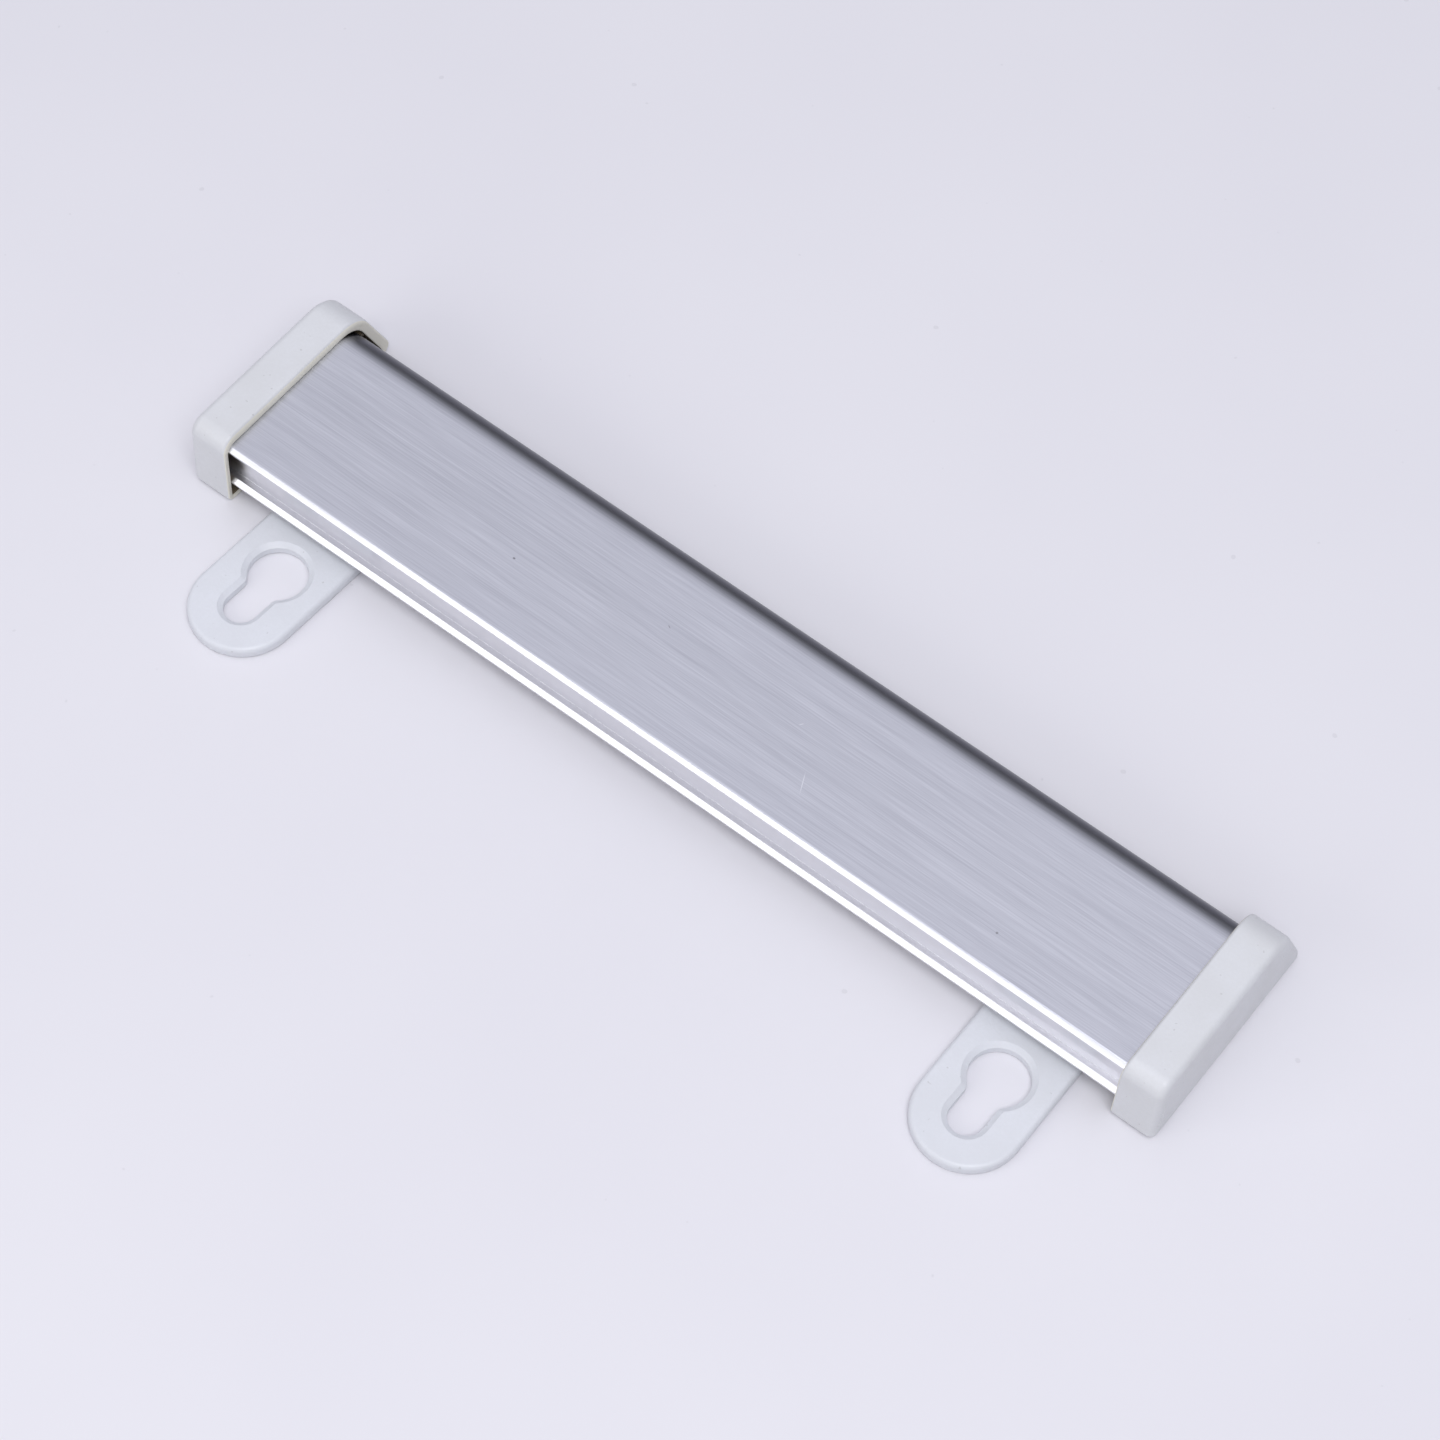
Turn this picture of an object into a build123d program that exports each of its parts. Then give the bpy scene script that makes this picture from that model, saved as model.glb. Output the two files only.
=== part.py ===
"""Hanging paper rail: an aluminium extrusion with a row of loose glass balls that grip paper,
closed by two push-on plastic end caps and hung by two sliding keyhole tabs.

The rail lies on its back. +X runs along the rail, -Y is its upper edge when it hangs on a
wall, +Z points out of its face, and z = 0 is the plane of the wall. Its lower side leans
outwards towards the wall. Millimetres.
"""
from build123d import *
from math import cos, radians, sin, sqrt, tan
import os

# Overall sizes
OVERALL_LENGTH = 201.0
CAP_LENGTH = 8.2
CAP_DEPTH = 42.7          # across the rail at its back, from its upper to its lower edge
CAP_HEIGHT = 17.0
LEAN = radians(25)        # how far the lower side leans from upright
TAB_REACH = 24.4          # from the caps' upper face to the tip of a tab

# The upper face of the caps. It puts y = 0 in the middle of the whole object.
CAP_UPPER_Y = (TAB_REACH - CAP_DEPTH) / 2

# End caps
CAP_WALL = 1.0
CAP_TOP_WALL = 1.5
CAP_LOWER_WALL = 2.0
CAP_END_WALL = 1.2
CAP_UPPER_RADIUS = 3.0
CAP_LOWER_RADIUS = 7.0
CAP_BACK_RADIUS = 1.5
CAP_END_FILLET = 1.4
CAP_RIB_WIDTH = 1.0
CAP_RIB_SHORTENING = 1.0  # how far a rib stops short of the rim

# Rail: distances across it are counted from the caps' upper face
RAIL_END_GAP = 0.3
RAIL_LENGTH = OVERALL_LENGTH - 2 * (CAP_END_WALL + RAIL_END_GAP)
RAIL_UPPER = 1.1
RAIL_LOWER_GAP = 0.65     # between the leaning sides of rail and cap
WALL = 1.2
FACE_Z = 15.0
FLANGE_CHAMFER = 1.0
GROOVE_DEPTH = 1.8
BEND_RADIUS = 6.5
BACK_Z = 4.75             # underside of the back plate
BACK_SHORT = 0.5          # how far the back plate stops short of the rail's lower side
MOUTH_GAP = 2.1
LIP_WIDTH = 2.0
LIP_FILLET = 0.4
RAMP_WALL = 1.0

# Channel on the back, in which the tabs slide
CHANNEL_NEAR = 6.0
CHANNEL_FAR = 22.0
CHANNEL_WEB = 1.0
CHANNEL_LIP_Z = 2.3
CHANNEL_LIP = 0.9
CHANNEL_SLOT = 7.0
CHANNEL_MIDDLE = (CHANNEL_NEAR + CHANNEL_FAR) / 2

# Hanger tabs
TAB_WIDTH = 19.1
TAB_THICKNESS = 2.2
LEFT_TAB_X = -74.65
RIGHT_TAB_X = 75.35
TAB_INNER_END = 21.0
TAB_TOP_FILLET = 0.8
TAB_BACK_FILLET = 0.3
TAB_PLAY = 0.1
HEAD_THICKNESS = CHANNEL_LIP_Z + CHANNEL_LIP
HEAD_DEPTH = 14.2
NECK_DEPTH = 5.6
HOLE_RADIUS = 5.3
SLOT_RADIUS = 3.15
HOLE_OUT = 6.5            # from the caps' upper face out to the middle of the round hole
SLOT_OUT = 15.4           # the same to the middle of the slot's round end
KEYHOLE_CHAMFER = 0.7
LEFT_TAB_TURN = -2.75     # degrees: the left tab sits a little askew in its channel

# Glass balls
BALL_RADIUS = 3.5
BALL_GAP = 0.15
BALL_COUNT = 15
BALL_PITCH = 12.6
BALL_Z = BACK_Z + WALL + BALL_GAP + BALL_RADIUS


def lower_side(up, inset):
    """How far across the leaning side is at a height, moved in from the caps' outside."""
    reach = (CAP_DEPTH - CAP_BACK_RADIUS) * cos(LEAN) + CAP_BACK_RADIUS * (sin(LEAN) + 1)
    return (reach - inset - up * sin(LEAN)) / cos(LEAN)


RAIL_INSET = CAP_LOWER_WALL + RAIL_LOWER_GAP
MOUTH_TOP = BACK_Z + WALL + MOUTH_GAP
NOSE = lower_side(MOUTH_TOP, RAIL_INSET) - LIP_WIDTH      # the lip's inner edge, over the mouth


def polygon(points):
    """A polygon of the section, across counted from the caps' upper face."""
    return Polygon(*[(CAP_UPPER_Y + across, up) for across, up in points], align=None)


def plate(near, far, low, high):
    """A rectangle of the rail's section, near and far counted from the caps' upper face."""
    return Pos(CAP_UPPER_Y + (near + far) / 2, (low + high) / 2) * Rectangle(far - near, high - low)


def corners_at(sketch, points):
    """The sketch's vertices at the given points."""
    return [v for v in sketch.vertices()
            if any((Vector(v) - Vector(CAP_UPPER_Y + across, up)).length < 0.01
                   for across, up in points)]


def bend_middle():
    """The centre of the bend, across and up."""
    up = FACE_Z - BEND_RADIUS
    return lower_side(up, RAIL_INSET + BEND_RADIUS), up


def bend():
    """The part of a ring that turns the face over into the leaning lower side."""
    across, up = bend_middle()
    middle = Pos(CAP_UPPER_Y + across, up)
    ring = middle * (Circle(BEND_RADIUS) - Circle(BEND_RADIUS - WALL))
    far = 2 * BEND_RADIUS
    wedge = polygon([(across, up), (across, up + far), (across + far, up + far),
                     (across + far * cos(LEAN), up + far * sin(LEAN))])
    return ring & wedge


def channel():
    """The two hooks under the back plate that hold the heads of the tabs."""
    low, high = CHANNEL_LIP_Z, CHANNEL_LIP_Z + CHANNEL_LIP
    slot_near = CHANNEL_MIDDLE - CHANNEL_SLOT / 2
    slot_far = CHANNEL_MIDDLE + CHANNEL_SLOT / 2
    return [
        plate(CHANNEL_NEAR - CHANNEL_WEB, CHANNEL_NEAR, low, BACK_Z),
        plate(CHANNEL_FAR, CHANNEL_FAR + CHANNEL_WEB, low, BACK_Z),
        plate(CHANNEL_NEAR, slot_near, low, high),
        plate(slot_far, CHANNEL_FAR, low, high),
    ]


def lip():
    """The leaning side and, behind it, the ramp that presses a falling ball against the back.

    They meet in a rounded nose over the paper mouth.
    """
    across, up = bend_middle()
    outer = (across + BEND_RADIUS * cos(LEAN), up + BEND_RADIUS * sin(LEAN))
    inner = (outer[0] - WALL * cos(LEAN), outer[1] - WALL * sin(LEAN))
    nose = (NOSE, MOUTH_TOP)
    corner = (lower_side(MOUTH_TOP, RAIL_INSET), MOUTH_TOP)
    ramp = NOSE + MOUTH_TOP + RAMP_WALL * sqrt(2)
    notch_up = (ramp - lower_side(0, RAIL_INSET + WALL)) / (1 - tan(LEAN))
    top = FACE_Z - WALL / 2
    walls = polygon([nose, corner, outer, inner, (ramp - notch_up, notch_up),
                     (ramp - top, top), (NOSE + MOUTH_TOP - top, top)])
    return fillet(corners_at(walls, [nose, corner]), LIP_FILLET)


def rail_section():
    """The extrusion's section: face, back, recessed upper wall, leaning lower side and ramp."""
    wall_near = RAIL_UPPER + GROOVE_DEPTH
    back_top = BACK_Z + WALL
    back_end = lower_side(back_top, RAIL_INSET) - BACK_SHORT
    face = plate(RAIL_UPPER, bend_middle()[0], FACE_Z - WALL, FACE_Z)
    face = chamfer(corners_at(face, [(RAIL_UPPER, FACE_Z)]), FLANGE_CHAMFER)
    back = plate(RAIL_UPPER, back_end, BACK_Z, back_top)
    back = chamfer(corners_at(back, [(RAIL_UPPER, back_top)]), FLANGE_CHAMFER)
    back = fillet(corners_at(back, [(back_end, back_top)]), LIP_FILLET)
    upper_wall = plate(wall_near, wall_near + WALL, BACK_Z, FACE_Z)
    return Sketch() + [face, back, upper_wall, lip(), bend()] + channel()


def rail_extrusion():
    return extrude(Plane.YZ * rail_section(), RAIL_LENGTH / 2, both=True)


def cap_section(side, top, lower):
    """A cap's outline, moved in at its upper edge and back, at its top and at its lower side."""
    high = CAP_HEIGHT - top
    radii = {
        (side, side): CAP_BACK_RADIUS - side,
        (lower_side(side, lower), side): CAP_BACK_RADIUS - side,
        (lower_side(high, lower), high): CAP_LOWER_RADIUS - lower / 2,
        (side, high): CAP_UPPER_RADIUS - side,
    }
    outline = Sketch() + polygon(list(radii))
    for corner, radius in radii.items():
        outline = fillet(corners_at(outline, [corner]), radius)
    return outline


def cap_ribs():
    """Crush ribs, along the push direction, that touch the rail all round."""
    half = CAP_RIB_WIDTH / 2
    edge_low = BACK_Z + (WALL - FLANGE_CHAMFER) / 2
    edge_high = FACE_Z - FLANGE_CHAMFER - (WALL - FLANGE_CHAMFER) / 2
    top_low, top_high = FACE_Z, CAP_HEIGHT - CAP_TOP_WALL
    far_hook = CHANNEL_FAR + CHANNEL_WEB / 2
    near_hook = CHANNEL_NEAR - CHANNEL_WEB / 2
    low, high = MOUTH_TOP + 1 - half, MOUTH_TOP + 1 + half
    leaning = polygon([(lower_side(low, RAIL_INSET), low),
                       (lower_side(low, CAP_LOWER_WALL - 0.2), low),
                       (lower_side(high, CAP_LOWER_WALL - 0.2), high),
                       (lower_side(high, RAIL_INSET), high)])
    return [
        plate(CAP_WALL - 0.2, RAIL_UPPER, edge_low - half, edge_low + half),
        plate(CAP_WALL - 0.2, RAIL_UPPER, edge_high - half, edge_high + half),
        plate(near_hook - half, near_hook + half, CAP_WALL - 0.2, CHANNEL_LIP_Z),
        plate(far_hook - half, far_hook + half, CAP_WALL - 0.2, CHANNEL_LIP_Z),
        plate(near_hook - half, near_hook + half, top_low, top_high + 0.2),
        plate(far_hook - half, far_hook + half, top_low, top_high + 0.2),
        leaning,
    ]


def right_end_cap():
    """A thin-walled box, open towards the rail, with rounded outer edges."""
    rim_x = OVERALL_LENGTH / 2 - CAP_LENGTH
    inner_length = CAP_LENGTH - CAP_END_WALL
    body = extrude(Plane.YZ * cap_section(0, 0, 0), CAP_LENGTH)
    body = fillet(body.faces().sort_by(Axis.X)[-1].edges(), CAP_END_FILLET)
    hollow = cap_section(CAP_WALL, CAP_TOP_WALL, CAP_LOWER_WALL)
    body -= extrude(Plane.YZ * hollow, inner_length)
    for rib in cap_ribs():
        body += Pos(CAP_RIB_SHORTENING, 0, 0) * extrude(Plane.YZ * rib,
                                                        inner_length - CAP_RIB_SHORTENING)
    return Pos(rim_x, 0, 0) * body


def keyhole(radius_added, depth):
    """A tool for the keyhole: the round hole and its slot, widened by radius_added."""
    hole = Pos(0, -HOLE_OUT) * Circle(HOLE_RADIUS + radius_added)
    slot_end = Pos(0, -SLOT_OUT) * Circle(SLOT_RADIUS + radius_added)
    length = SLOT_OUT - HOLE_OUT
    slot = Pos(0, -(HOLE_OUT + SLOT_OUT) / 2) * Rectangle(2 * (SLOT_RADIUS + radius_added), length)
    return extrude(hole + slot_end + slot, depth)


def hanger_tab():
    """A flat plate with a round outer end and a keyhole, and a head that slides in the channel.

    Its own origin is on the caps' upper face, in the middle of its width.
    """
    half = TAB_WIDTH / 2
    straight = TAB_INNER_END + TAB_REACH - half
    middle = TAB_INNER_END - straight / 2
    outline = Pos(0, middle) * Rectangle(TAB_WIDTH, straight)
    outline += Pos(0, TAB_INNER_END - straight) * Circle(half)
    body = extrude(outline, TAB_THICKNESS)
    rim = body.faces().sort_by(Axis.Z)
    body = fillet(rim[-1].edges(), TAB_TOP_FILLET)
    body = fillet(body.faces().sort_by(Axis.Z)[0].edges(), TAB_BACK_FILLET)
    body -= keyhole(0, TAB_THICKNESS)
    top_edges = body.faces().sort_by(Axis.Z)[-1].inner_wires()[0].edges()
    body = chamfer(top_edges, KEYHOLE_CHAMFER)
    neck_height = HEAD_THICKNESS + TAB_PLAY - TAB_THICKNESS
    body += Pos(0, CHANNEL_MIDDLE, TAB_THICKNESS + neck_height / 2) * Box(
        TAB_WIDTH - 2 * TAB_TOP_FILLET, NECK_DEPTH, neck_height)
    head_low = HEAD_THICKNESS + TAB_PLAY
    head_high = BACK_Z - TAB_PLAY
    body += Pos(0, CHANNEL_MIDDLE, (head_low + head_high) / 2) * Box(
        TAB_WIDTH - 2 * TAB_TOP_FILLET, HEAD_DEPTH, head_high - head_low)
    return body


def placed_tab(x, turn):
    """A tab with its middle at x, turned about the middle of the channel."""
    pivot = Pos(x, CAP_UPPER_Y + CHANNEL_MIDDLE, 0)
    return pivot * Rot(0, 0, turn) * Pos(0, -CHANNEL_MIDDLE, 0) * hanger_tab()


def glass_ball(number):
    """One loose ball, where it wedges between the ramp and the back plate."""
    across = NOSE - (BALL_Z - MOUTH_TOP) - (BALL_RADIUS + BALL_GAP) * sqrt(2)
    x = (number - (BALL_COUNT - 1) / 2) * BALL_PITCH
    return Pos(x, CAP_UPPER_Y + across, BALL_Z) * Sphere(BALL_RADIUS)


right_cap = right_end_cap()
parts = {
    "rail_extrusion": rail_extrusion(),
    "left_end_cap": mirror(right_cap, about=Plane.YZ),
    "right_end_cap": right_cap,
    "left_hanger_tab": placed_tab(LEFT_TAB_X, LEFT_TAB_TURN),
    "right_hanger_tab": placed_tab(RIGHT_TAB_X, 0),
}
for number in range(BALL_COUNT):
    parts[f"glass_ball_{number + 1:02d}"] = glass_ball(number)

os.makedirs("parts", exist_ok=True)
for node, shape in parts.items():
    export_step(shape, f"parts/{node}.step")
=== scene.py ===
import math

import bmesh
import bpy
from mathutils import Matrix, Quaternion, Vector
from mathutils.geometry import delaunay_2d_cdt


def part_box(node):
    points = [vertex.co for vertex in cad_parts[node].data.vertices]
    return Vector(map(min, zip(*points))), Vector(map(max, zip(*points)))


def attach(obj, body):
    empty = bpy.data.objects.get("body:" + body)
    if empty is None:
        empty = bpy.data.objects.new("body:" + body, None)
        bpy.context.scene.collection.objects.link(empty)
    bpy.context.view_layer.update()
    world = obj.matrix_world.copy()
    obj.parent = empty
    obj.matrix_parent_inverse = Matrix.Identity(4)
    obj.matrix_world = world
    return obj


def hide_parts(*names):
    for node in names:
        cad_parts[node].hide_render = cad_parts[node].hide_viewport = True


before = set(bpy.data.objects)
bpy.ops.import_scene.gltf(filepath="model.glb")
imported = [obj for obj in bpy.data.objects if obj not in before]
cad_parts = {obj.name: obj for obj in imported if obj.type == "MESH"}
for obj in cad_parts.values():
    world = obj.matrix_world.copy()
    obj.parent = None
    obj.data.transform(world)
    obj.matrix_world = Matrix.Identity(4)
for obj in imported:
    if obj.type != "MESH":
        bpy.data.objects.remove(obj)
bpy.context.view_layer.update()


# ---------------------------------------------------------------- the aluminium rail
# One length of extruded aluminium with a brushed, clear-anodised face: a hollow behind the
# face for the balls, a ramp behind its leaning lower side, and a channel on its back for the
# tabs. It is cut to length and holds everything else, so it stands still.
MM = 0.001
rail_low, rail_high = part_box("rail_extrusion")
cap_low, cap_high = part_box("right_end_cap")
CAP_DEPTH = (cap_high.y - cap_low.y) / MM
UPPER_Y = cap_low.y / MM          # distances across the rail are counted from here
LEAN = math.radians(25)           # how far the lower side leans from upright
CAP_BACK_RADIUS = 1.5
RAIL_UPPER = rail_low.y / MM - UPPER_Y
RAIL_INSET = 2.65                 # from the caps' leaning side to the rail's
RAIL_BACK = rail_low.z / MM
FACE = rail_high.z / MM
WALL = 1.2
FLANGE_CHAMFER = 0.8
GROOVE_DEPTH = 1.8
BEND_RADIUS = 6.5
HOOK_THICKNESS = 0.9
CHANNEL_HEIGHT = 1.55
MOUTH_GAP = 2.1
LIP_WIDTH = 2.0
RAMP_WALL = 1.0
BACK_SHORT = 0.5
CHANNEL_NEAR = 6.0
CHANNEL_FAR = 22.0
CHANNEL_WEB = 1.0
CHANNEL_SLOT = 7.0
CHANNEL_MIDDLE = (CHANNEL_NEAR + CHANNEL_FAR) / 2
EDGE = 0.15                       # radius of an outer edge as the die leaves it
ROOT = 0.3                        # radius of an inner corner
SMALL_EDGE = 0.08                 # radius of the edges of the two flanges
GROOVE_ROOT = 0.05                # radius of the corners at the bottom of the groove
CHAMFER_EDGE = 0.2                # radius where the upper chamfer meets the side
CHAMFER_BLEND = 0.5               # radius where it runs into the face
BACK_CHAMFER_BLEND = 0.4          # radius where the lower chamfer runs into its flange
LIP_ROUNDING = 0.4                # rounding of the lip and of the back plate's end


def lower_side(up, inset):
    """How far across the leaning side is at a height, moved in from the caps' outside."""
    reach = ((CAP_DEPTH - CAP_BACK_RADIUS) * math.cos(LEAN)
             + CAP_BACK_RADIUS * (math.sin(LEAN) + 1))
    return (reach - inset - up * math.sin(LEAN)) / math.cos(LEAN)


def arc(centre, radius, start, end, steps):
    """Points on an arc, with its angles in degrees."""
    points = []
    for step in range(steps + 1):
        angle = math.radians(start + (end - start) * step / steps)
        points.append((centre[0] + radius * math.cos(angle), centre[1] + radius * math.sin(angle)))
    return points


def rounded_loop(corners, steps=6):
    """Points round a closed outline. Each corner is (across, up, radius), in millimetres."""
    points = []
    for i, (x, y, radius) in enumerate(corners):
        here = Vector((x, y))
        before = Vector(corners[i - 1][:2]) - here
        after = Vector(corners[(i + 1) % len(corners)][:2]) - here
        before.normalize()
        after.normalize()
        half = before.angle(after) / 2
        middle = here + (before + after).normalized() * radius / math.sin(half)
        first = here + before * radius / math.tan(half) - middle
        last = here + after * radius / math.tan(half) - middle
        sweep = first.angle_signed(last)
        for step in range(steps + 1):
            turn = -sweep * step / steps
            points.append((middle.x + first.x * math.cos(turn) - first.y * math.sin(turn),
                           middle.y + first.x * math.sin(turn) + first.y * math.cos(turn)))
    return points


def ring(bm, points):
    """New vertices at the given points, in millimetres, as a closed ring."""
    return [bm.verts.new(Vector(point) * MM) for point in points]


def bridge(bm, first, second, material=0):
    """Quads between two rings with the same number of vertices."""
    for i in range(len(first)):
        face = bm.faces.new((first[i - 1], first[i], second[i], second[i - 1]))
        face.material_index = material


def is_inside(point, outline):
    """Whether a point lies inside a closed outline."""
    inside = False
    for a, b in zip(outline, outline[1:] + outline[:1]):
        if (a.y > point.y) != (b.y > point.y):
            if point.x < a.x + (point.y - a.y) * (b.x - a.x) / (b.y - a.y):
                inside = not inside
    return inside


def fill(bm, *rings, flat=(0, 1), material=0):
    """Triangles between the first ring and the other rings, which are holes in it.

    The rings lie in one plane, and flat names the two axes that it is spread over.
    """
    outlines = [[Vector((v.co[flat[0]], v.co[flat[1]])) / MM for v in vertices]
                for vertices in rings]
    vertices = [vertex for ring_vertices in rings for vertex in ring_vertices]
    points = [point for outline in outlines for point in outline]
    edges = []
    start = 0
    for outline in outlines:
        count = len(outline)
        edges += [(start + i, start + (i + 1) % count) for i in range(count)]
        start += count
    result = delaunay_2d_cdt(points, edges, [], 1, 1e-6)
    triangles, origins = result[2], result[3]
    for triangle in triangles:
        corners = [origins[corner][0] for corner in triangle]
        middle = sum((points[corner] for corner in corners), Vector((0, 0))) / 3
        if sum(is_inside(middle, outline) for outline in outlines) % 2:
            face = bm.faces.new([vertices[corner] for corner in corners])
            face.material_index = material


def finish_mesh(name, bm, sharp_degrees=32):
    """An object from a finished mesh, smooth but for its real edges."""
    bmesh.ops.recalc_face_normals(bm, faces=bm.faces)
    mesh = bpy.data.meshes.new(name)
    bm.to_mesh(mesh)
    bm.free()
    mesh.polygons.foreach_set("use_smooth", [True] * len(mesh.polygons))
    mesh.set_sharp_from_angle(angle=math.radians(sharp_degrees))
    piece = bpy.data.objects.new(name, mesh)
    bpy.context.scene.collection.objects.link(piece)
    normals = piece.modifiers.new("even_normals", "WEIGHTED_NORMAL")
    normals.keep_sharp = True
    return piece


def rail_loops():
    """The outline of the extrusion's section, and the outline of the hollow behind its lip.

    The ramp of the hollow leans 45 degrees, which is where sqrt(2) and 45 come from.
    """
    hook = RAIL_BACK + HOOK_THICKNESS
    back = hook + CHANNEL_HEIGHT
    inner_back = back + WALL
    inner_face = FACE - WALL
    mouth = inner_back + MOUTH_GAP
    lip = lower_side(mouth, RAIL_INSET)
    nose = lip - LIP_WIDTH
    wall = RAIL_UPPER + GROOVE_DEPTH
    back_end = lower_side(inner_back, RAIL_INSET) - BACK_SHORT
    slot_near = CHANNEL_MIDDLE - CHANNEL_SLOT / 2
    slot_far = CHANNEL_MIDDLE + CHANNEL_SLOT / 2
    outline = rounded_loop([
        (RAIL_UPPER, FACE - FLANGE_CHAMFER, CHAMFER_EDGE),
        (RAIL_UPPER + FLANGE_CHAMFER, FACE, CHAMFER_BLEND),
        (lower_side(FACE, RAIL_INSET), FACE, BEND_RADIUS),
        (lip, mouth, LIP_ROUNDING), (nose, mouth, LIP_ROUNDING),
        (nose + mouth - inner_face, inner_face, ROOT), (wall + WALL, inner_face, ROOT),
        (wall + WALL, inner_back, ROOT), (back_end, inner_back, LIP_ROUNDING),
        (back_end, back, EDGE), (CHANNEL_FAR + CHANNEL_WEB, back, ROOT),
        (CHANNEL_FAR + CHANNEL_WEB, RAIL_BACK, EDGE), (slot_far, RAIL_BACK, EDGE),
        (slot_far, hook, EDGE), (CHANNEL_FAR, hook, EDGE), (CHANNEL_FAR, back, EDGE),
        (CHANNEL_NEAR, back, EDGE), (CHANNEL_NEAR, hook, EDGE), (slot_near, hook, EDGE),
        (slot_near, RAIL_BACK, EDGE), (CHANNEL_NEAR - CHANNEL_WEB, RAIL_BACK, EDGE),
        (CHANNEL_NEAR - CHANNEL_WEB, back, ROOT), (RAIL_UPPER, back, SMALL_EDGE),
        (RAIL_UPPER, inner_back - FLANGE_CHAMFER, SMALL_EDGE),
        (RAIL_UPPER + FLANGE_CHAMFER, inner_back, BACK_CHAMFER_BLEND),
        (wall, inner_back, GROOVE_ROOT), (wall, inner_face, GROOVE_ROOT),
        (RAIL_UPPER, inner_face, SMALL_EDGE),
    ], steps=8)
    middle_up = FACE - BEND_RADIUS
    middle = (lower_side(middle_up, RAIL_INSET + BEND_RADIUS), middle_up)
    inner_radius = BEND_RADIUS - WALL
    ramp = nose + mouth + RAMP_WALL * math.sqrt(2)
    rise = math.acos((ramp - sum(middle)) / inner_radius / math.sqrt(2))
    notch_up = (ramp - lower_side(0, RAIL_INSET + WALL)) / (1 - math.tan(LEAN))
    hollow = arc(middle, inner_radius, 45 + math.degrees(rise), math.degrees(LEAN), 10)
    return [outline, hollow + [(ramp - notch_up, notch_up)]]


def make_rail():
    bm = bmesh.new()
    ends = [[], []]
    for loop in rail_loops():
        pair = []
        for end, x in enumerate((rail_low.x / MM, rail_high.x / MM)):
            vertices = ring(bm, [(x, UPPER_Y + across, up) for across, up in loop])
            ends[end].append(vertices)
            pair.append(vertices)
        bridge(bm, *pair)
    for rings in ends:
        fill(bm, *rings, flat=(1, 2))
    return finish_mesh("rail", bm, sharp_degrees=50)


def new_material(name, base, roughness, metallic=0.0):
    """A material with a Principled shader, its nodes, its links and the shader."""
    material = bpy.data.materials.new(name)
    material.use_nodes = True
    nodes, links = material.node_tree.nodes, material.node_tree.links
    shader = nodes["Principled BSDF"]
    shader.inputs["Base Color"].default_value = (*base, 1)
    shader.inputs["Roughness"].default_value = roughness
    shader.inputs["Metallic"].default_value = metallic
    return material, nodes, links, shader


def noise(nodes, links, coordinates, stretch, detail=2.0):
    """Noise over the given coordinates, in features per metre along each axis."""
    mapping = nodes.new("ShaderNodeMapping")
    mapping.inputs["Scale"].default_value = stretch
    links.new(coordinates, mapping.inputs["Vector"])
    texture = nodes.new("ShaderNodeTexNoise")
    texture.inputs["Scale"].default_value = 1.0
    texture.inputs["Detail"].default_value = detail
    links.new(mapping.outputs["Vector"], texture.inputs["Vector"])
    return texture.outputs["Fac"]


def spread(nodes, links, value, source, target, smooth=False):
    """A value taken from one range to another, and held at its ends."""
    node = nodes.new("ShaderNodeMapRange")
    node.interpolation_type = "SMOOTHSTEP" if smooth else "LINEAR"
    node.inputs["From Min"].default_value, node.inputs["From Max"].default_value = source
    node.inputs["To Min"].default_value, node.inputs["To Max"].default_value = target
    links.new(value, node.inputs["Value"])
    return node.outputs["Result"]


def maths(nodes, links, operation, first, second):
    """Two values added, multiplied or compared; either may be a plain number."""
    node = nodes.new("ShaderNodeMath")
    node.operation = operation
    for socket, value in zip(node.inputs, (first, second)):
        if isinstance(value, (int, float)):
            socket.default_value = value
        else:
            links.new(value, socket)
    return node.outputs["Value"]


def blend_colours(nodes, links, mask, first, second):
    """The first colour where the mask is 0, the second where it is 1.

    The mix node keeps its colours in sockets 6 and 7, and gives the colour from socket 2.
    """
    node = nodes.new("ShaderNodeMix")
    node.data_type = "RGBA"
    links.new(mask, node.inputs[0])
    for socket, colour in zip((node.inputs[6], node.inputs[7]), (first, second)):
        if isinstance(colour, tuple):
            socket.default_value = (*colour, 1)
        else:
            links.new(colour, socket)
    return node.outputs[2]


def bump(nodes, links, height, distance, shader):
    """The height as fine relief on the shader, its depth in metres."""
    node = nodes.new("ShaderNodeBump")
    node.inputs["Distance"].default_value = distance
    links.new(height, node.inputs["Height"])
    links.new(node.outputs["Normal"], shader.inputs["Normal"])


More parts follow.
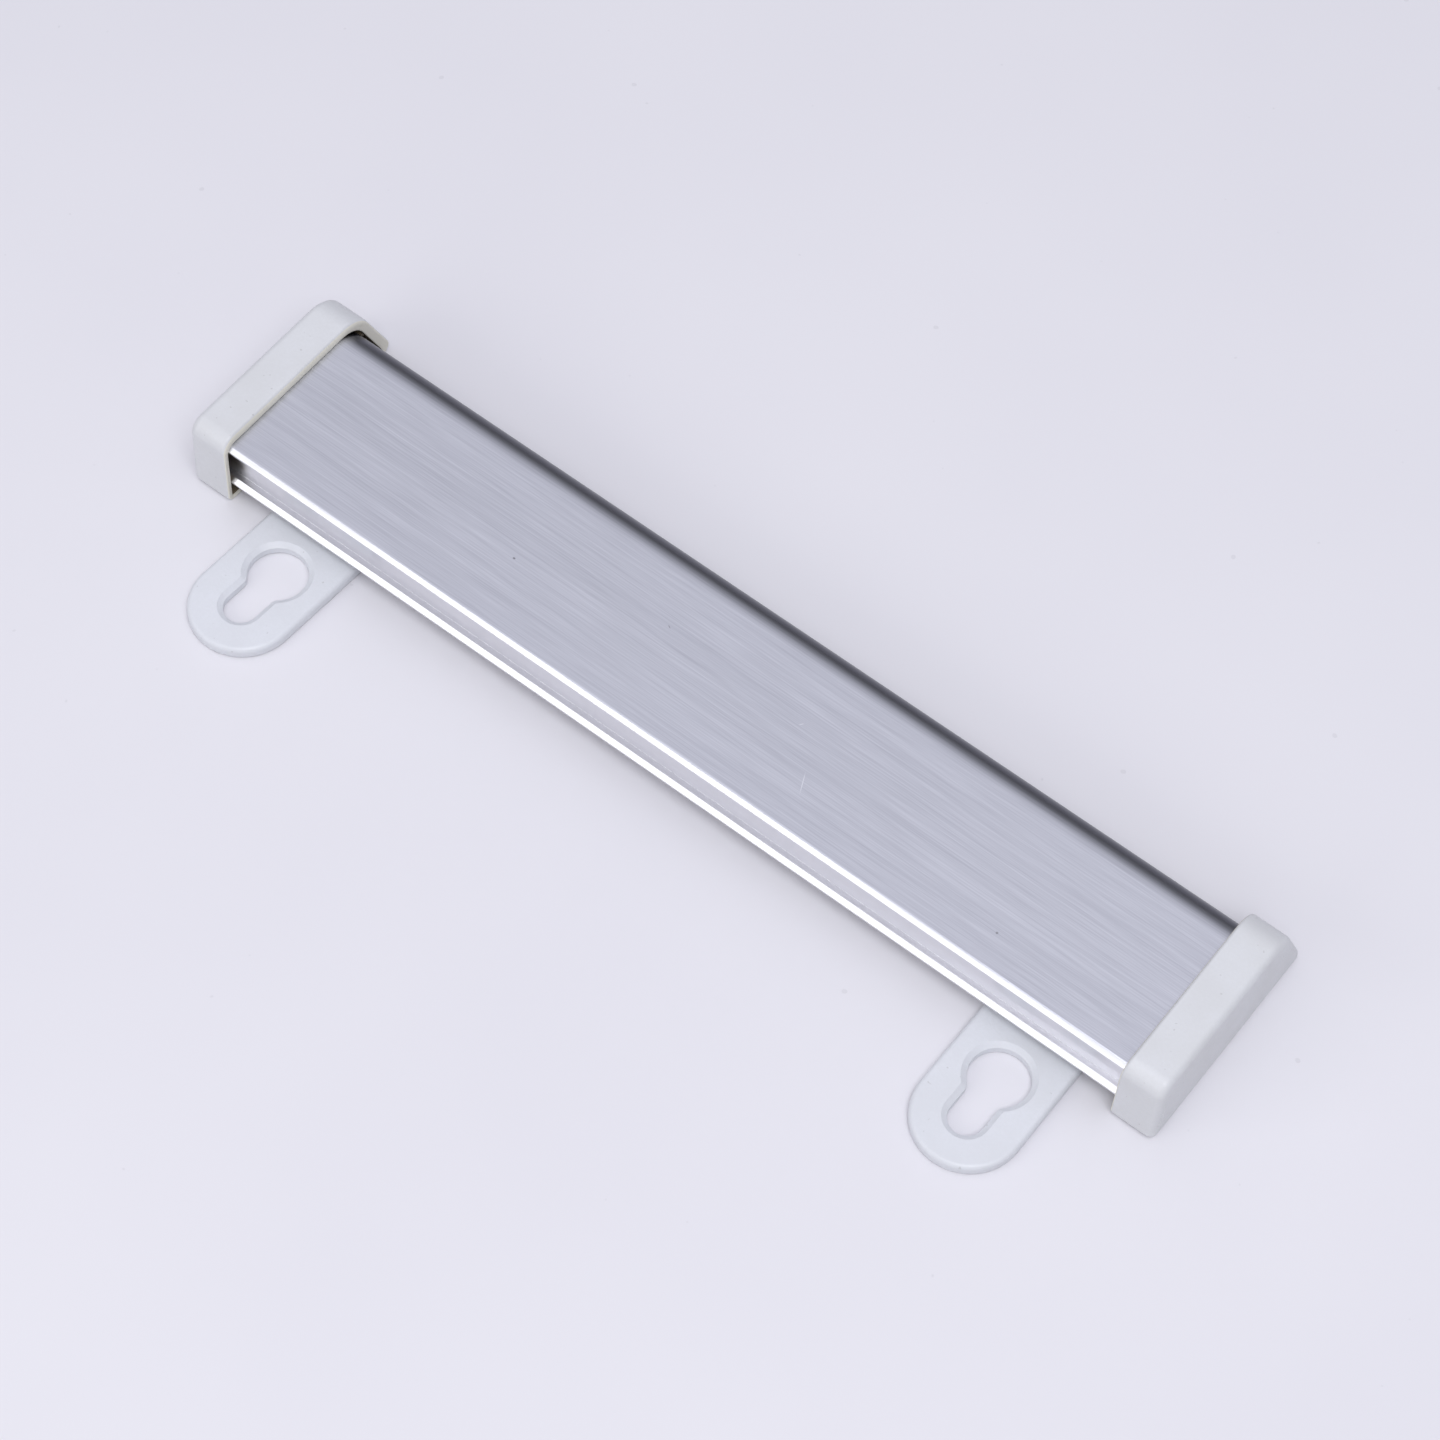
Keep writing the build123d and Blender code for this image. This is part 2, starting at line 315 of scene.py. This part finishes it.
def handling_mark_group():
    """A mask for one small mark or scratch: its place, half size and turn in the face."""
    group = bpy.data.node_groups.new("handling_mark", "ShaderNodeTree")
    for name, kind in (("Coordinates", "NodeSocketVector"), ("Place", "NodeSocketVector"),
                       ("Half Size", "NodeSocketVector"), ("Turn", "NodeSocketFloat")):
        group.interface.new_socket(name, in_out="INPUT", socket_type=kind)
    group.interface.new_socket("Mask", in_out="OUTPUT", socket_type="NodeSocketFloat")
    nodes, links = group.nodes, group.links
    start, end = nodes.new("NodeGroupInput"), nodes.new("NodeGroupOutput")
    away = nodes.new("ShaderNodeVectorMath")
    away.operation = "SUBTRACT"
    links.new(start.outputs["Coordinates"], away.inputs[0])
    links.new(start.outputs["Place"], away.inputs[1])
    turned = nodes.new("ShaderNodeVectorRotate")
    turned.rotation_type = "Z_AXIS"
    links.new(away.outputs["Vector"], turned.inputs["Vector"])
    links.new(start.outputs["Turn"], turned.inputs["Angle"])
    share = nodes.new("ShaderNodeVectorMath")
    share.operation = "DIVIDE"
    links.new(turned.outputs["Vector"], share.inputs[0])
    links.new(start.outputs["Half Size"], share.inputs[1])
    length = nodes.new("ShaderNodeVectorMath")
    length.operation = "LENGTH"
    links.new(share.outputs["Vector"], length.inputs[0])
    mask = spread(nodes, links, length.outputs["Value"], (0.3, 1.0), (1.0, 0.0), smooth=True)
    links.new(mask, end.inputs["Mask"])
    return group


BRUSHED_DARK = (0.585, 0.597, 0.645)
BRUSHED_LIGHT = (0.84, 0.853, 0.905)
PLAIN = (0.81, 0.81, 0.835)       # the sides and the groove, which are not brushed
PLAIN_ROUGHNESS = 0.30
HAIRLINES = (90, 4200, 4200)      # the brushing's three widths, in features per metre
STREAKS = (28, 1700, 1700)
BANDS = (5, 260, 260)
HAIRLINE_SHARE = 0.50
STREAK_SHARE = 0.32
BAND_SHARE = 0.18
HAIRLINE_DEPTH = 0.008 * MM
BRUSHED_DOWN_TO = 0.4             # below the face, where the brushing starts to fade
PLAIN_FROM = 0.9                  # and where it has gone
# Painted dark reflection: the leaning lower side of the rail is coloured near black where it turns
# to face the back, standing in for a dark room mirrored in it.
BEND_PAINTED_DARK_REFLECTION = (0.095, 0.098, 0.120)
BEND_FACING = (0.08, 0.62)        # lean of the surface where that painted dark reflection starts, and is full
MARK_HALF_HEIGHT = 0.5
rail_material, nodes, links, shader = new_material(
    "brushed_aluminium", BRUSHED_LIGHT, 0.34, metallic=1.0)
coordinates = nodes.new("ShaderNodeTexCoord")
place = coordinates.outputs["Object"]
hairlines = noise(nodes, links, place, HAIRLINES, detail=3.0)
streaks = noise(nodes, links, place, STREAKS, detail=2.0)
bands = noise(nodes, links, place, BANDS, detail=1.0)
wide = maths(nodes, links, "ADD", maths(nodes, links, "MULTIPLY", streaks, STREAK_SHARE),
             maths(nodes, links, "MULTIPLY", bands, BAND_SHARE))
brushing = maths(nodes, links, "ADD",
                 maths(nodes, links, "MULTIPLY", hairlines, HAIRLINE_SHARE), wide)
brightness = spread(nodes, links, brushing, (0.27, 0.73), (0.0, 1.0))
colour = blend_colours(nodes, links, brightness, BRUSHED_DARK, BRUSHED_LIGHT)
handling_mark = handling_mark_group()
MARKS = [  # along the rail, across it, half length, half width, turn, and the mark's colour
    (-41.0, 14.5, 0.35, 0.25, 0.0, (0.30, 0.30, 0.32)),
    (22.5, 10.3, 2.6, 0.12, 1.15, (0.92, 0.93, 0.97)),
    (-12.6, 20.2, 0.5, 0.12, 0.5, (0.45, 0.45, 0.48)),
    (15.7, 19.0, 0.6, 0.14, 2.2, (0.88, 0.89, 0.93)),
    (63.0, 7.8, 0.3, 0.3, 0.0, (0.38, 0.38, 0.40)),
]
for along, across, half_length, half_width, turn, mark_colour in MARKS:
    mark = nodes.new("ShaderNodeGroup")
    mark.node_tree = handling_mark
    mark.inputs["Place"].default_value = Vector((along, UPPER_Y + across, FACE)) * MM
    mark.inputs["Half Size"].default_value = (half_length * MM, half_width * MM,
                                              MARK_HALF_HEIGHT * MM)
    mark.inputs["Turn"].default_value = turn
    links.new(place, mark.inputs["Coordinates"])
    colour = blend_colours(nodes, links, mark.outputs["Mask"], colour, mark_colour)
height = nodes.new("ShaderNodeSeparateXYZ")
links.new(place, height.inputs["Vector"])
below = spread(nodes, links, height.outputs["Z"],
               ((FACE - PLAIN_FROM) * MM, (FACE - BRUSHED_DOWN_TO) * MM), (1.0, 0.0), smooth=True)
colour = blend_colours(nodes, links, below, colour, PLAIN)
# painted dark reflection: the surface goes near black as it turns to face the back
facing = nodes.new("ShaderNodeSeparateXYZ")
links.new(coordinates.outputs["Normal"], facing.inputs["Vector"])
painted_dark_reflection = spread(nodes, links, facing.outputs["Y"], BEND_FACING, (0.0, 1.0), smooth=True)
colour = blend_colours(nodes, links, painted_dark_reflection, colour, BEND_PAINTED_DARK_REFLECTION)
links.new(colour, shader.inputs["Base Color"])
brushed = maths(nodes, links, "SUBTRACT", 1.0, below)
unevenness = spread(nodes, links, streaks, (0.3, 0.7), (0.0, 0.1))
rough = maths(nodes, links, "ADD", PLAIN_ROUGHNESS,
              maths(nodes, links, "MULTIPLY", unevenness, brushed))
links.new(rough, shader.inputs["Roughness"])
relief = maths(nodes, links, "MULTIPLY", hairlines, brushed)
bump(nodes, links, relief, HAIRLINE_DEPTH, shader)

rail = make_rail()
rail.data.materials.append(rail_material)
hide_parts("rail_extrusion")
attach(rail, "rail")


# ---------------------------------------------------------------- the end caps
# Two thin-walled boxes of off-white plastic, moulded in one piece and pushed over the ends of
# the rail, where small ribs inside grip it. Their outer edges are rounded. Their rims are a
# warmer white than the skin and are painted lighter as well, for the light on them, and their
# insides are painted dark brown, for the shade in them.
CAP_HEIGHT = (cap_high.z - cap_low.z) / MM
CAP_WALL = 1.0
CAP_TOP_WALL = 1.92
CAP_LOWER_WALL = 2.0
CAP_END_WALL = 1.2
CAP_END_ROUNDING = 1.4
CAP_CROWN = 0.35                  # how far the top of the end face leans back
CROWN_START = 10.5                # height at which it starts to lean, and over what height
CROWN_RISE = 5.0
END_FLAT_INSET = 1.46             # from the cap's outside to the flat part of its end
END_FLAT_TOP = 6.4
CAP_RIM_ROUNDING = 0.25           # rounding of the rim's edges, and of its outer ones at the
RIM_TOP_ROUNDING = 1.15           # top and at the lower side
RIM_LOWER_ROUNDING = 0.5
RIM_ROUNDING_LENGTH = 0.7
RIM_STEPS = 3                     # how much of that rounding is in the rim's warmer, painted-lighter material
INNER_RIM_STEPS = 2
SMALLEST_RADIUS = 0.1
UPPER_RADIUS = 3.0
LOWER_RADIUS = 7.0
RIB_WIDTH = 1.0
RIB_SHORTENING = 1.0
RIB_ROOT = 0.2                    # how deep a rib starts in the wall
RIB_ABOVE_MOUTH = 1.0
SKIN, PAINTED_SHADE_INSIDE, RIM_TINT_AND_PAINTED_LIGHT = 0, 1, 2       # the cap's finishes: the skin, the inside in painted shade, and the rim, warmer and painted lighter


def cap_loop(side, top, lower):
    """Points round a cap, moved in at the upper edge and back, the top and the lower side."""
    high = CAP_HEIGHT - top
    return rounded_loop([
        (side, side, max(SMALLEST_RADIUS, CAP_BACK_RADIUS - side)),
        (side, high, UPPER_RADIUS - side),
        (lower_side(high, lower), high, LOWER_RADIUS - lower / 2),
        (lower_side(side, lower), side, max(SMALLEST_RADIUS, CAP_BACK_RADIUS - side)),
    ], steps=10)


def rib_outlines():
    """The sections of the ribs that grip the rail, as (across, up) corners."""
    half = RIB_WIDTH / 2
    back_plate = RAIL_BACK + HOOK_THICKNESS + CHANNEL_HEIGHT
    mouth = back_plate + WALL + MOUTH_GAP
    slack = (WALL - FLANGE_CHAMFER) / 2
    ribs = []
    for middle in (back_plate + slack, FACE - FLANGE_CHAMFER - slack):
        ribs.append((CAP_WALL - RIB_ROOT, RAIL_UPPER, middle - half, middle + half))
    for middle in (CHANNEL_NEAR - CHANNEL_WEB / 2, CHANNEL_FAR + CHANNEL_WEB / 2):
        ribs.append((middle - half, middle + half, CAP_WALL - RIB_ROOT, RAIL_BACK))
        ribs.append((middle - half, middle + half, FACE, CAP_HEIGHT - CAP_TOP_WALL + RIB_ROOT))
    outlines = [[(near, low), (far, low), (far, high), (near, high)]
                for near, far, low, high in ribs]
    low, high = mouth + RIB_ABOVE_MOUTH - half, mouth + RIB_ABOVE_MOUTH + half
    outlines.append([(lower_side(low, RAIL_INSET), low),
                     (lower_side(low, CAP_LOWER_WALL - RIB_ROOT), low),
                     (lower_side(high, CAP_LOWER_WALL - RIB_ROOT), high),
                     (lower_side(high, RAIL_INSET), high)])
    return outlines


def make_cap(name, side):
    """A cap at the rail's left end (side -1) or right end (side 1).

    Both are made from the right cap's place, and the left one is mirrored by its side.
    """
    rim = cap_low.x / MM
    end = cap_high.x / MM

    def cap_ring(x, side_inset, top_inset, lower_inset):
        return ring(bm, [(side * x, UPPER_Y + across, up)
                         for across, up in cap_loop(side_inset, top_inset, lower_inset)])

    bm = bmesh.new()
    outer = []
    for step in range(7):
        angle = math.radians(90 * step / 6)
        share = 1 - math.sin(angle)
        x = rim + RIM_ROUNDING_LENGTH * (1 - math.cos(angle))
        outer.append(cap_ring(x, share * CAP_RIM_ROUNDING, share * RIM_TOP_ROUNDING,
                              share * RIM_LOWER_ROUNDING))
    outer.append(cap_ring((rim + end) / 2, 0, 0, 0))
    shoulder = end - CAP_CROWN
    for step in range(9):
        angle = math.radians(90 * step / 8)
        inset = CAP_END_ROUNDING * (1 - math.cos(angle))
        x = end - CAP_END_ROUNDING + CAP_END_ROUNDING * math.sin(angle)
        top_x = shoulder - CAP_END_ROUNDING + CAP_END_ROUNDING * math.sin(angle)
        points = []
        for across, up in cap_loop(inset, inset, inset):
            lean = max(0.0, min(1.0, (up - CROWN_START) / CROWN_RISE))
            points.append((side * (x + (top_x - x) * lean), UPPER_Y + across, up))
        outer.append(ring(bm, points))
    flat_end = ring(bm, [(side * end, UPPER_Y + across, up)
                         for across, up in cap_loop(END_FLAT_INSET, END_FLAT_TOP, END_FLAT_INSET)])
    inner = []
    for step in range(3):
        angle = math.radians(90 * step / 2)
        back = CAP_RIM_ROUNDING * (1 - math.sin(angle))
        x = rim + CAP_RIM_ROUNDING * (1 - math.cos(angle))
        inner.append(cap_ring(x, CAP_WALL - back, CAP_TOP_WALL - back, CAP_LOWER_WALL - back))
    inner.append(cap_ring((rim + end) / 2, CAP_WALL, CAP_TOP_WALL, CAP_LOWER_WALL))
    inner.append(cap_ring(end - CAP_END_WALL, CAP_WALL, CAP_TOP_WALL, CAP_LOWER_WALL))
    # The rim's rings take the warmer rim material, which is also painted lighter; the inside takes
    # the painted shade.
    for step, (first, second) in enumerate(zip(outer, outer[1:])):
        bridge(bm, first, second, material=RIM_TINT_AND_PAINTED_LIGHT if step < RIM_STEPS else SKIN)
    bridge(bm, outer[-1], flat_end)
    fill(bm, flat_end, flat=(1, 2))
    bridge(bm, outer[0], inner[0], material=RIM_TINT_AND_PAINTED_LIGHT)
    for step, (first, second) in enumerate(zip(inner, inner[1:])):
        bridge(bm, first, second, material=RIM_TINT_AND_PAINTED_LIGHT if step < INNER_RIM_STEPS else PAINTED_SHADE_INSIDE)
    fill(bm, inner[-1], flat=(1, 2), material=PAINTED_SHADE_INSIDE)
    for outline in rib_outlines():
        first, second = [ring(bm, [(side * x, UPPER_Y + across, up) for across, up in outline])
                         for x in (rim + RIB_SHORTENING, end - CAP_END_WALL + RIB_ROOT / 2)]
        bridge(bm, first, second, material=PAINTED_SHADE_INSIDE)
        bm.faces.new(first).material_index = PAINTED_SHADE_INSIDE
        bm.faces.new(second).material_index = PAINTED_SHADE_INSIDE
    return finish_mesh(name, bm)


def moulded_skin_group():
    """The skin of moulded plastic: slow drifts of tone, a fine grain and a few specks."""
    group = bpy.data.node_groups.new("moulded_skin", "ShaderNodeTree")
    for name, kind in (("Colour", "NodeSocketColor"), ("Shade", "NodeSocketColor"),
                       ("Gloss", "NodeSocketFloat")):
        group.interface.new_socket(name, in_out="INPUT", socket_type=kind)
    for name, kind in (("Colour", "NodeSocketColor"), ("Roughness", "NodeSocketFloat"),
                       ("Height", "NodeSocketFloat")):
        group.interface.new_socket(name, in_out="OUTPUT", socket_type=kind)
    nodes, links = group.nodes, group.links
    start, end = nodes.new("NodeGroupInput"), nodes.new("NodeGroupOutput")
    place = nodes.new("ShaderNodeTexCoord").outputs["Object"]
    drift = noise(nodes, links, place, (110, 110, 110), detail=2.0)
    grain = noise(nodes, links, place, (1900, 1900, 1900), detail=3.0)
    specks = noise(nodes, links, place, (1500, 1500, 1500), detail=0.0)
    tone = spread(nodes, links, drift, (0.35, 0.65), (0.0, 0.55))
    colour = blend_colours(nodes, links, tone, start.outputs["Colour"], start.outputs["Shade"])
    mottle = spread(nodes, links, grain, (0.3, 0.7), (0.0, 0.35))
    colour = blend_colours(nodes, links, mottle, colour, start.outputs["Shade"])
    dirt = spread(nodes, links, specks, (0.83, 0.87), (0.0, 0.3), smooth=True)
    colour = blend_colours(nodes, links, dirt, colour, (0.35, 0.34, 0.32))
    links.new(colour, end.inputs["Colour"])
    rough = maths(nodes, links, "ADD", start.outputs["Gloss"],
                  spread(nodes, links, grain, (0.3, 0.7), (-0.05, 0.05)))
    links.new(rough, end.inputs["Roughness"])
    links.new(grain, end.inputs["Height"])
    return group


moulded_skin = moulded_skin_group()
GRAIN_DEPTH = 0.03 * MM


def moulded_plastic(name, colour, shade, gloss):
    """A plastic material with the moulded skin."""
    material, nodes, links, shader = new_material(name, colour, gloss)
    skin = nodes.new("ShaderNodeGroup")
    skin.node_tree = moulded_skin
    skin.inputs["Colour"].default_value = (*colour, 1)
    skin.inputs["Shade"].default_value = (*shade, 1)
    skin.inputs["Gloss"].default_value = gloss
    links.new(skin.outputs["Colour"], shader.inputs["Base Color"])
    links.new(skin.outputs["Roughness"], shader.inputs["Roughness"])
    bump(nodes, links, skin.outputs["Height"], GRAIN_DEPTH, shader)
    return material


cap_skin = moulded_plastic("cap_plastic", (0.735, 0.748, 0.765), (0.675, 0.682, 0.685), 0.42)
# Painted shade: the inside of each cap and its ribs are coloured dark brown for the shade that
# falls in there.
cap_inside_painted_shade = moulded_plastic("cap_plastic_inside_painted_shade", (0.20, 0.16, 0.10), (0.16, 0.125, 0.08), 0.6)
# The rim is a warmer white than the skin. It is also painted lighter, standing in for the light
# that falls on it.
cap_rim_tint_and_painted_light = moulded_plastic("cap_plastic_rim_tint_and_painted_light", (0.83, 0.81, 0.71), (0.77, 0.75, 0.64), 0.5)

left_cap = make_cap("left_cap", -1)
right_cap = make_cap("right_cap", 1)
for cap, node in ((left_cap, "left_end_cap"), (right_cap, "right_end_cap")):
    cap.data.materials.append(cap_skin)
    cap.data.materials.append(cap_inside_painted_shade)
    cap.data.materials.append(cap_rim_tint_and_painted_light)
    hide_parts(node)
    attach(cap, "rail")


# ---------------------------------------------------------------- the hanger tabs
# Two flat plates of white plastic with a round outer end and a keyhole for a wall screw. A
# head moulded on the inner end slides in the channel on the rail's back, so each tab moves
# along the rail. The left one sits a little askew.
tab_low, tab_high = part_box("right_hanger_tab")
TAB_WIDTH = (tab_high.x - tab_low.x) / MM
TAB_TIP = tab_low.y / MM - UPPER_Y
TAB_INNER_END = tab_high.y / MM - UPPER_Y
RIGHT_TAB_X = (tab_high.x + tab_low.x) / 2 / MM
LEFT_TAB_X = -74.65
TAB_THICKNESS = 2.2
TAB_TOP_ROUNDING = 0.8
TAB_BACK_ROUNDING = 0.3
TAB_PLAY = 0.1
HEAD_DEPTH = 14.2
NECK_DEPTH = 5.6
HOLE_RADIUS = 5.3
SLOT_RADIUS = 3.15
HOLE_AT = -6.5
SLOT_AT = -15.4
NECK_ROUNDING = 1.6
KEYHOLE_CHAMFER = 0.7             # depth of the keyhole's chamfer, and its width in the top
CHAMFER_WIDTH = 0.95
KEYHOLE_BACK_EDGE = 0.15
NECK_END_INSET = 1.3              # from the tab's sides to the ends of the neck and the head
HEAD_END_INSET = 1.0
BLOCK_ROUNDING = 0.4
LEFT_TAB_TURN = math.radians(-2.75)


def tab_loop(inset):
    """Points round a tab's plate: its round outer end and its square inner end."""
    half = TAB_WIDTH / 2
    centre = (0.0, TAB_TIP + half)
    radius = half - inset
    inner = TAB_INNER_END - inset
    return arc(centre, radius, 180, 360, 48) + [(radius, inner), (-radius, inner)]


def keyhole_loop(grow):
    """Points round the keyhole, grown by the given distance."""
    hole, slot = HOLE_RADIUS + grow, SLOT_RADIUS + grow
    rounding = NECK_ROUNDING - grow
    side = SLOT_RADIUS + NECK_ROUNDING
    drop = math.sqrt((HOLE_RADIUS + NECK_ROUNDING) ** 2 - side ** 2)
    tangent = math.degrees(math.atan2(-drop, side))
    right = (side, HOLE_AT - drop)
    left = (-side, HOLE_AT - drop)
    return (arc((0, HOLE_AT), hole, tangent, 180 - tangent, 40)
            + arc(left, rounding, -tangent, 0, 8)
            + arc((0, SLOT_AT), slot, 180, 360, 20)
            + arc(right, rounding, 180, 180 + tangent, 8))


def tab_ring(bm, loop, up, placing):
    """A ring of a tab at the given height, put in its place on the rail."""
    centre_x, turn = placing
    points = []
    for x, across in loop:
        away = across - CHANNEL_MIDDLE
        points.append((centre_x + x * math.cos(turn) - away * math.sin(turn),
                       UPPER_Y + CHANNEL_MIDDLE + x * math.sin(turn) + away * math.cos(turn), up))
    return ring(bm, points)


def block_loop(depth, end_inset):
    """Points round the neck or the head of a tab."""
    half_width, half_depth = TAB_WIDTH / 2 - end_inset, depth / 2
    corners = [(-half_width, CHANNEL_MIDDLE - half_depth, BLOCK_ROUNDING),
               (half_width, CHANNEL_MIDDLE - half_depth, BLOCK_ROUNDING),
               (half_width, CHANNEL_MIDDLE + half_depth, BLOCK_ROUNDING),
               (-half_width, CHANNEL_MIDDLE + half_depth, BLOCK_ROUNDING)]
    return rounded_loop(corners, steps=3)


def make_tab(name, placing):
    """A tab as one closed skin: plate, keyhole, neck and head."""
    bm = bmesh.new()
    plate = []
    for step in range(4):
        angle = math.radians(90 * step / 3)
        inset = TAB_BACK_ROUNDING * (1 - math.sin(angle))
        up = TAB_BACK_ROUNDING * (1 - math.cos(angle))
        plate.append(tab_ring(bm, tab_loop(inset), up, placing))
    for step in range(7):
        angle = math.radians(90 * step / 6)
        inset = TAB_TOP_ROUNDING * (1 - math.cos(angle))
        up = TAB_THICKNESS - TAB_TOP_ROUNDING * (1 - math.sin(angle))
        plate.append(tab_ring(bm, tab_loop(inset), up, placing))
    hole = [tab_ring(bm, keyhole_loop(KEYHOLE_BACK_EDGE), 0, placing),
            tab_ring(bm, keyhole_loop(0), KEYHOLE_BACK_EDGE, placing),
            tab_ring(bm, keyhole_loop(0), TAB_THICKNESS - KEYHOLE_CHAMFER, placing),
            tab_ring(bm, keyhole_loop(CHAMFER_WIDTH), TAB_THICKNESS, placing)]
    head_low = RAIL_BACK + HOOK_THICKNESS + TAB_PLAY
    head_high = RAIL_BACK + HOOK_THICKNESS + CHANNEL_HEIGHT - TAB_PLAY
    neck = [tab_ring(bm, block_loop(NECK_DEPTH, NECK_END_INSET), up, placing)
            for up in (TAB_THICKNESS, head_low)]
    head = [tab_ring(bm, block_loop(HEAD_DEPTH, HEAD_END_INSET), up, placing)
            for up in (head_low, head_high)]
    for rings in (plate, hole, neck, head):
        for first, second in zip(rings, rings[1:]):
            bridge(bm, first, second)
    fill(bm, plate[0], hole[0])
    fill(bm, plate[-1], hole[-1], neck[0])
    fill(bm, head[0], neck[1])
    fill(bm, head[1])
    return finish_mesh(name, bm)


tab_material = moulded_plastic("tab_plastic", (0.755, 0.775, 0.81), (0.70, 0.715, 0.74), 0.38)

left_tab = make_tab("left_tab", (LEFT_TAB_X, LEFT_TAB_TURN))
right_tab = make_tab("right_tab", (RIGHT_TAB_X, 0.0))
for tab, node, body in ((left_tab, "left_hanger_tab", "left_tab"),
                        (right_tab, "right_hanger_tab", "right_tab")):
    tab.data.materials.append(tab_material)
    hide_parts(node)
    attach(tab, body)


# ---------------------------------------------------------------- the glass balls
# A row of loose glass balls in the hollow of the rail. Each one rolls down the ramp until it
# wedges the paper against the back. They are shown as the frame has them.
ball_material, nodes, links, shader = new_material("ball_glass", (0.80, 0.92, 0.87), 0.04)
shader.inputs["Transmission Weight"].default_value = 1.0
shader.inputs["IOR"].default_value = 1.52

for name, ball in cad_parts.items():
    if name.startswith("glass_ball"):
        ball.data.polygons.foreach_set("use_smooth", [True] * len(ball.data.polygons))
        ball.data.materials.clear()
        ball.data.materials.append(ball_material)


# ---------------------------------------------------------------- floor, light and camera
# A pale table top, and a room that is bright above and dark near the horizon. A soft light
# overhead is the stronger one, and a weaker one stands low in front.
FLOOR_SIZE = 8
FLOOR_GAP = 0.2 * MM              # so that the floor and the lowest faces don't coincide
floor_material, nodes, links, shader = new_material("table_top", (0.80, 0.79, 0.84), 0.6)
place = nodes.new("ShaderNodeTexCoord").outputs["Object"]
clouds = noise(nodes, links, place, (9, 9, 9), detail=3.0)
flecks = noise(nodes, links, place, (420, 420, 420), detail=0.0)
colour = blend_colours(nodes, links, spread(nodes, links, clouds, (0.3, 0.7), (0.0, 1.0)),
                       (0.812, 0.803, 0.830), (0.782, 0.773, 0.806))
colour = blend_colours(nodes, links,
                       spread(nodes, links, flecks, (0.87, 0.90), (0.0, 0.2), smooth=True),
                       colour, (0.45, 0.44, 0.46))
links.new(colour, shader.inputs["Base Color"])
bpy.ops.mesh.primitive_plane_add(size=FLOOR_SIZE, location=(0, 0, -FLOOR_GAP))
floor = bpy.context.object
floor.name = "table_top"
floor.data.materials.append(floor_material)

world = bpy.data.worlds.new("room")
world.use_nodes = True
nodes, links = world.node_tree.nodes, world.node_tree.links
sky = nodes["Background"]
sky.inputs["Color"].default_value = (0.87, 0.87, 0.97, 1)
upward = nodes.new("ShaderNodeSeparateXYZ")
links.new(nodes.new("ShaderNodeTexCoord").outputs["Generated"], upward.inputs["Vector"])
links.new(spread(nodes, links, upward.outputs["Z"], (0.0, 1.0), (0.05, 0.93)),
          sky.inputs["Strength"])
bpy.context.scene.world = world
bpy.context.scene.view_settings.view_transform = "Standard"


def softbox(name, place, size, power, colour):
    """An area light at place that faces the middle of the rail."""
    light = bpy.data.lights.new(name, "AREA")
    light.shape = "RECTANGLE"
    light.size, light.size_y = size
    light.energy = power
    light.color = colour
    lamp = bpy.data.objects.new(name, light)
    lamp.location = place
    lamp.rotation_mode = "QUATERNION"
    lamp.rotation_quaternion = (-Vector(place)).to_track_quat("-Z", "Y")
    bpy.context.scene.collection.objects.link(lamp)


softbox("front_softbox", (-0.5, -1.35, 0.75), (1.3, 0.6), 4.8, (1.0, 0.99, 0.98))
softbox("overhead_softbox", (0.45, -0.45, 1.4), (0.8, 0.8), 9.9, (0.96, 0.97, 1.0))

EYE = Vector((0.18975, -0.2733, 0.5669))
AIM = Vector((-0.00015, 0.0096, 0.0))
ROLL = math.radians(4.43)
camera_data = bpy.data.cameras.new("camera")
camera_data.lens = 98.8
camera_data.sensor_width = 36.0
camera_data.clip_start = 0.01
camera = bpy.data.objects.new("camera", camera_data)
camera.location = EYE
camera.rotation_mode = "QUATERNION"
camera.rotation_quaternion = (AIM - EYE).to_track_quat("-Z", "Y") @ Quaternion((0, 0, 1), ROLL)
bpy.context.scene.collection.objects.link(camera)
bpy.context.scene.camera = camera
